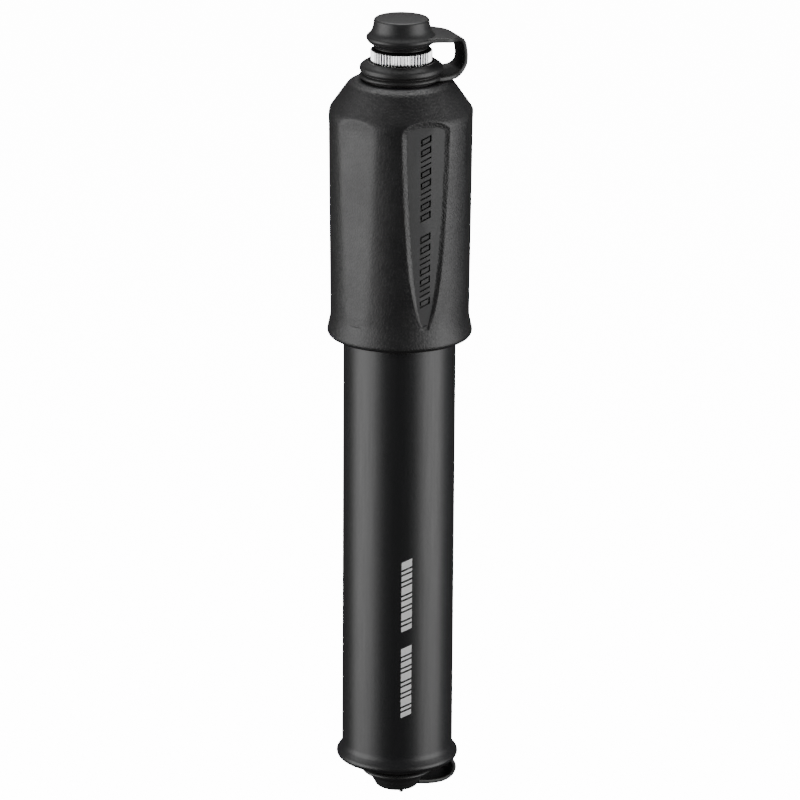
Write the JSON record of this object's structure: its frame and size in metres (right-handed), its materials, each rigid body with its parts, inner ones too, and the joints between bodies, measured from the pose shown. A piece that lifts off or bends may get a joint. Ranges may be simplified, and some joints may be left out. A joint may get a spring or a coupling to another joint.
{
  "type": "mini pump",
  "caption": "Slim hand-held tyre pump: sliding handle over a black tube, hose stored in the shaft, knurled valve chuck and tethered rubber dust caps at both ends.",
  "frame": {"origin": "on the pump's axis, half-way along the bare barrel, where a frame bracket grips it", "axes": "+Z along the pump's axis towards the handle and top dust cap; +X towards the dust caps' straps; -Y faces the marked grip panel"},
  "size_m": [0.0304, 0.0304, 0.17],
  "materials": {
    "barrel_anodised": "satin black anodised drawn tube",
    "grip_shell": "fine leather-like moulded grain, satin black",
    "cap_rubber": "smooth moulded rubber, low sheen",
    "seal_rubber": "matt rubber",
    "hose_rubber": "smooth black hose cover",
    "inner_plastic": "glass-filled moulding, matt",
    "alloy": "bright turned, straight knurl",
    "steel": "bright",
    "shaft_steel": "ground and polished",
    "brass": "turned"
  },
  "bodies": {
    "barrel": {"barrel_tube": "barrel_anodised", "base_plug": "inner_plastic", "base_oring": "seal_rubber", "valve_retainer": "steel", "valve_spring": "steel", "base_strap_ring": "cap_rubber", "base_strap": "cap_rubber", "barrel_gland": "inner_plastic", "gland_bush": "steel", "gland_wiper": "seal_rubber"},
    "check_ball": {"check_ball": "steel"},
    "handle": {"handle_grip": "grip_shell", "handle_insert": "inner_plastic", "pump_shaft": "shaft_steel", "shaft_end_plug": "alloy", "shaft_end_oring": "seal_rubber", "topout_bumper": "seal_rubber", "piston_head": "inner_plastic", "piston_nut": "steel"},
    "piston_ring": {"piston_ring": "seal_rubber"},
    "hose": {"hose_tube": "hose_rubber", "upper_ferrule": "steel", "lower_ferrule": "steel", "chuck_nipple": "brass", "hose_fitting": "brass", "fitting_oring": "seal_rubber", "hose_collar": "cap_rubber", "top_strap": "cap_rubber"},
    "chuck": {"chuck": "alloy", "gasket_washer": "steel", "valve_gasket": "seal_rubber"},
    "top_cap": {"top_cap": "cap_rubber"},
    "base_cap": {"base_cap": "cap_rubber"}
  },
  "joints": [
    {"name": "handle_stroke", "type": "slide", "parent": "barrel", "child": "handle", "axis": [0, 0, 1], "range_m": [0, 0.104]},
    {"name": "hose_pull", "type": "slide", "parent": "handle", "child": "hose", "axis": [0, 0, 1], "range_m": [0, 0.118]},
    {"name": "chuck_turn", "type": "hinge", "parent": "hose", "child": "chuck", "pos_m": [0, 0, 0.1], "axis": [0, 0, 1], "continuous": true},
    {"name": "top_cap_flip", "type": "hinge", "parent": "hose", "child": "top_cap", "pos_m": [0.0134, 0, 0.1062], "axis": [0, 1, 0], "range_deg": [0, 130], "deforming": ["top_strap"]},
    {"name": "base_cap_flip", "type": "hinge", "parent": "barrel", "child": "base_cap", "pos_m": [0.0121, 0, -0.0523], "axis": [0, -1, 0], "range_deg": [0, 120], "deforming": ["base_strap"]},
    {"name": "ring_float", "type": "slide", "parent": "handle", "child": "piston_ring", "axis": [0, 0, 1], "range_m": [0, 0.0007]},
    {"name": "check_valve", "type": "slide", "parent": "barrel", "child": "check_ball", "axis": [0, 0, -1], "range_m": [0, 0.001], "stiffness_N_per_m": 60, "springref_m": -0.002, "deforming": ["valve_spring"]}
  ]
}
